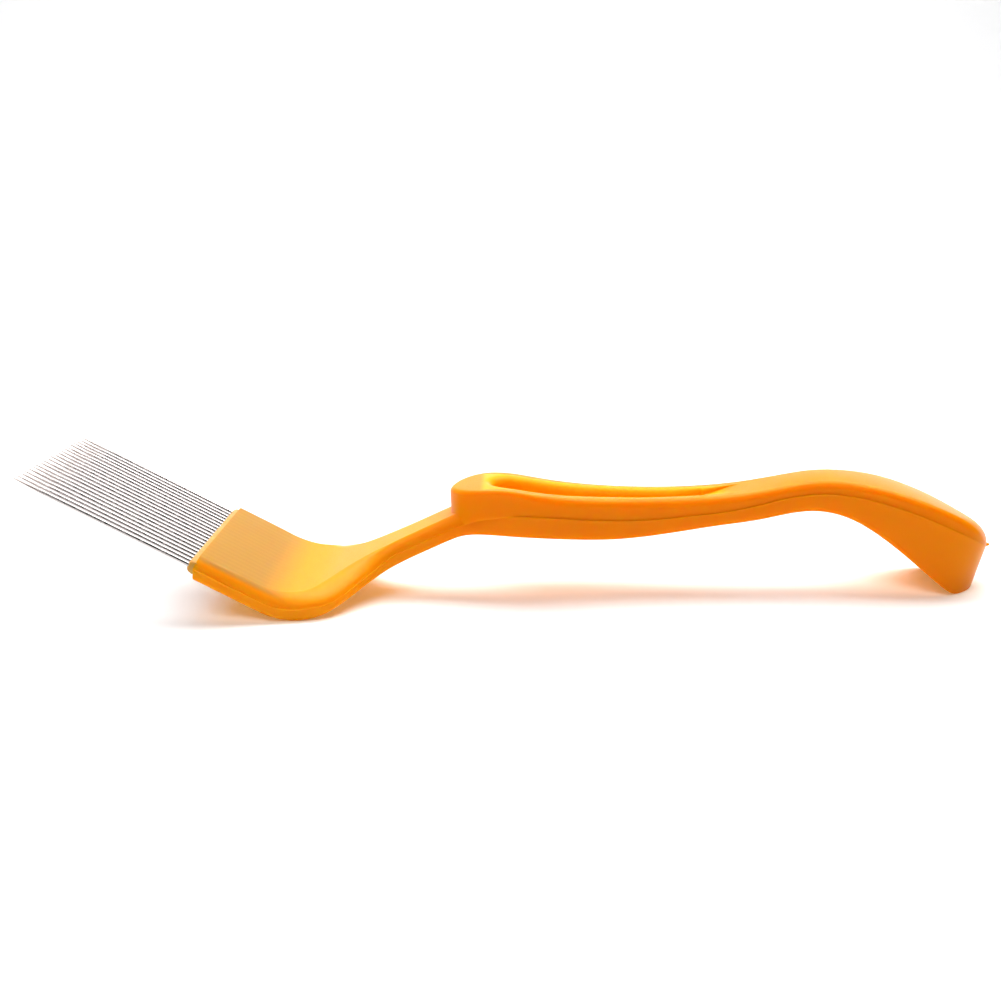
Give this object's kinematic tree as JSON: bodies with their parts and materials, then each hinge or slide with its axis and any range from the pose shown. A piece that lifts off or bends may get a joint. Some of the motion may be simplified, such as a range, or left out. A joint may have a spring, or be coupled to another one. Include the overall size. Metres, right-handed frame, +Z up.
{
  "type": "uncapping fork",
  "caption": "Beekeeper's uncapping fork: a comb of straight steel needles in a tilted head on a one-piece moulded plastic handle with a grooved grip.",
  "frame": {"origin": "middle of the overall box, at the level of the surface that the tool lies on", "axes": "+X from the needle points to the tail, +Y across the tool, +Z up"},
  "size_m": [0.2012, 0.0424, 0.031],
  "materials": {
    "handle_plastic": "glossy translucent orange-yellow injection moulding, pale and slightly olive over the embedded needles",
    "bar_plastic": "yellow moulded strip",
    "needle_steel": "drawn bright steel wire with ground points"
  },
  "bodies": {
    "root": {"handle": "handle_plastic", "needle_bar": "bar_plastic", "needle_01": "needle_steel", "needle_02": "needle_steel", "needle_03": "needle_steel", "needle_04": "needle_steel", "needle_05": "needle_steel", "needle_06": "needle_steel", "needle_07": "needle_steel", "needle_08": "needle_steel", "needle_09": "needle_steel", "needle_10": "needle_steel", "needle_11": "needle_steel", "needle_12": "needle_steel", "needle_13": "needle_steel", "needle_14": "needle_steel", "needle_15": "needle_steel", "needle_16": "needle_steel", "needle_17": "needle_steel", "needle_18": "needle_steel", "needle_19": "needle_steel", "needle_20": "needle_steel", "needle_21": "needle_steel"}
  },
  "joints": []
}
